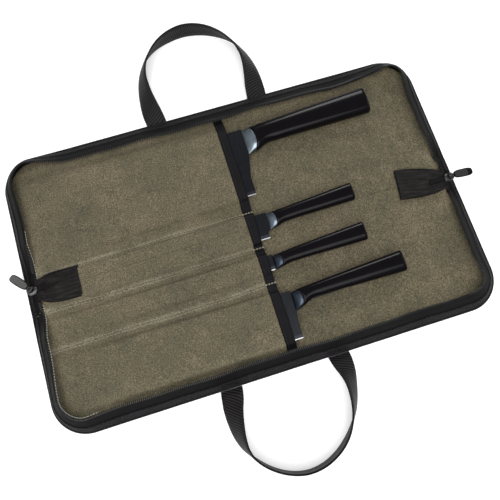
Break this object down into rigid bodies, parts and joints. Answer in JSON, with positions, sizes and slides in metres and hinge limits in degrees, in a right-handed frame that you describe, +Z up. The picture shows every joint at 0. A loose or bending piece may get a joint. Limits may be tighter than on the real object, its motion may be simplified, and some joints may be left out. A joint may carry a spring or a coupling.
{
  "type": "zip-round knife case with knives",
  "caption": "Zip-round padded canvas case lying open flat, with stitched pockets holding kitchen knives, end tabs, zipper sliders and webbing carry handles.",
  "frame": {"origin": "middle of the spine's outer face, where the open case rests", "axes": "+X along the case towards the knives' butts, +Y towards the upper half, +Z up out of the open case"},
  "size_m": [0.4808, 0.4885, 0.0244],
  "materials": {
    "shell_nylon": "black woven nylon, slightly ribbed, matt sheen",
    "foam": "grey closed-cell foam padding",
    "canvas": "olive waxed cotton canvas, mottled and dry",
    "binding": "black grosgrain tape, matt",
    "zipper_tape": "black woven zipper tape",
    "zipper_coil": "black nylon coil",
    "webbing": "black ribbed webbing",
    "slider_metal": "dark nickel-plated zinc",
    "pull_grey": "mid grey moulded rubber",
    "pull_dark": "dark grey moulded rubber",
    "blade_steel": "dark polished steel with a bright ground edge",
    "bolster_steel": "polished steel with a cool blue-grey reflection",
    "handle_black": "black moulded handle, glossy"
  },
  "bodies": {
    "lower_half": {"shell_lower": "shell_nylon", "foam_lower": "foam", "lining_lower": "canvas", "pocket_panel_lower": "canvas", "pocket_binding_lower": "binding", "gusset_lower": "shell_nylon", "zipper_tape_lower": "zipper_tape", "zipper_coil_lower": "zipper_coil"},
    "spine": {"shell_spine": "shell_nylon", "foam_spine": "foam", "lining_spine": "canvas", "pocket_panel_spine": "canvas", "pocket_binding_spine": "binding", "end_gusset_left": "shell_nylon", "end_gusset_right": "shell_nylon", "end_tab_left": "webbing", "end_tab_right": "webbing", "slider_left": "slider_metal", "slider_right": "slider_metal", "zipper_end_left": "zipper_coil", "zipper_end_right": "zipper_coil"},
    "upper_half": {"shell_upper": "shell_nylon", "foam_upper": "foam", "lining_upper": "canvas", "pocket_panel_upper": "canvas", "pocket_binding_upper": "binding", "gusset_upper": "shell_nylon", "zipper_tape_upper": "zipper_tape", "zipper_coil_upper": "zipper_coil"},
    "carry_handle_lower": {"carry_handle_lower": "webbing"},
    "carry_handle_upper": {"carry_handle_upper": "webbing"},
    "pull_left": {"pull_left": "pull_grey", "pull_link_left": "slider_metal"},
    "pull_right": {"pull_right": "pull_dark", "pull_link_right": "slider_metal"},
    "broad_knife": {"broad_knife_blade": "blade_steel", "broad_knife_bolster": "bolster_steel", "broad_knife_handle": "handle_black"},
    "utility_knife": {"utility_knife_blade": "blade_steel", "utility_knife_bolster": "bolster_steel", "utility_knife_handle": "handle_black"},
    "paring_knife": {"paring_knife_blade": "blade_steel", "paring_knife_bolster": "bolster_steel", "paring_knife_handle": "handle_black"},
    "chef_knife": {"chef_knife_blade": "blade_steel", "chef_knife_bolster": "bolster_steel", "chef_knife_handle": "handle_black"}
  },
  "joints": [
    {"name": "fold_lower", "type": "hinge", "parent": "lower_half", "child": "spine", "pos_m": [0, -0.02, 0.0048], "axis": [-1, 0, 0], "range_deg": [-90, 0]},
    {"name": "fold_upper", "type": "hinge", "parent": "spine", "child": "upper_half", "pos_m": [0, 0.02, 0.0048], "axis": [-1, 0, 0], "range_deg": [-90, 0]},
    {"name": "draw_broad_knife", "type": "slide", "parent": "upper_half", "child": "broad_knife", "axis": [0.9995, 0, 0.0332], "range_m": [0, 0.043]},
    {"name": "draw_utility_knife", "type": "slide", "parent": "spine", "child": "utility_knife", "axis": [0.9993, 0, 0.0385], "range_m": [0, 0.078]},
    {"name": "draw_paring_knife", "type": "slide", "parent": "lower_half", "child": "paring_knife", "axis": [0.9993, 0, 0.0384], "range_m": [0, 0.095]},
    {"name": "draw_chef_knife", "type": "slide", "parent": "lower_half", "child": "chef_knife", "axis": [0.9995, 0, 0.0331], "range_m": [0, 0.069]},
    {"name": "swing_handle_upper", "type": "hinge", "parent": "upper_half", "child": "carry_handle_upper", "pos_m": [0, 0.1487, 0.0014], "axis": [1, 0, 0], "range_deg": [0, 80]},
    {"name": "swing_handle_lower", "type": "hinge", "parent": "lower_half", "child": "carry_handle_lower", "pos_m": [0, -0.1487, 0.0014], "axis": [-1, 0, 0], "range_deg": [0, 80]},
    {"name": "swing_pull_left", "type": "hinge", "parent": "spine", "child": "pull_left", "pos_m": [-0.2225, 0.002, 0.017], "axis": [0.7547, 0.6561, 0], "range_deg": [0, 150]},
    {"name": "swing_pull_right", "type": "hinge", "parent": "spine", "child": "pull_right", "pos_m": [0.2225, -0.0085, 0.017], "axis": [0, -1, 0], "range_deg": [0, 150]}
  ],
  "couplings": [
    {"joint": "fold_upper", "follows": "fold_lower", "ratio": 1}
  ]
}
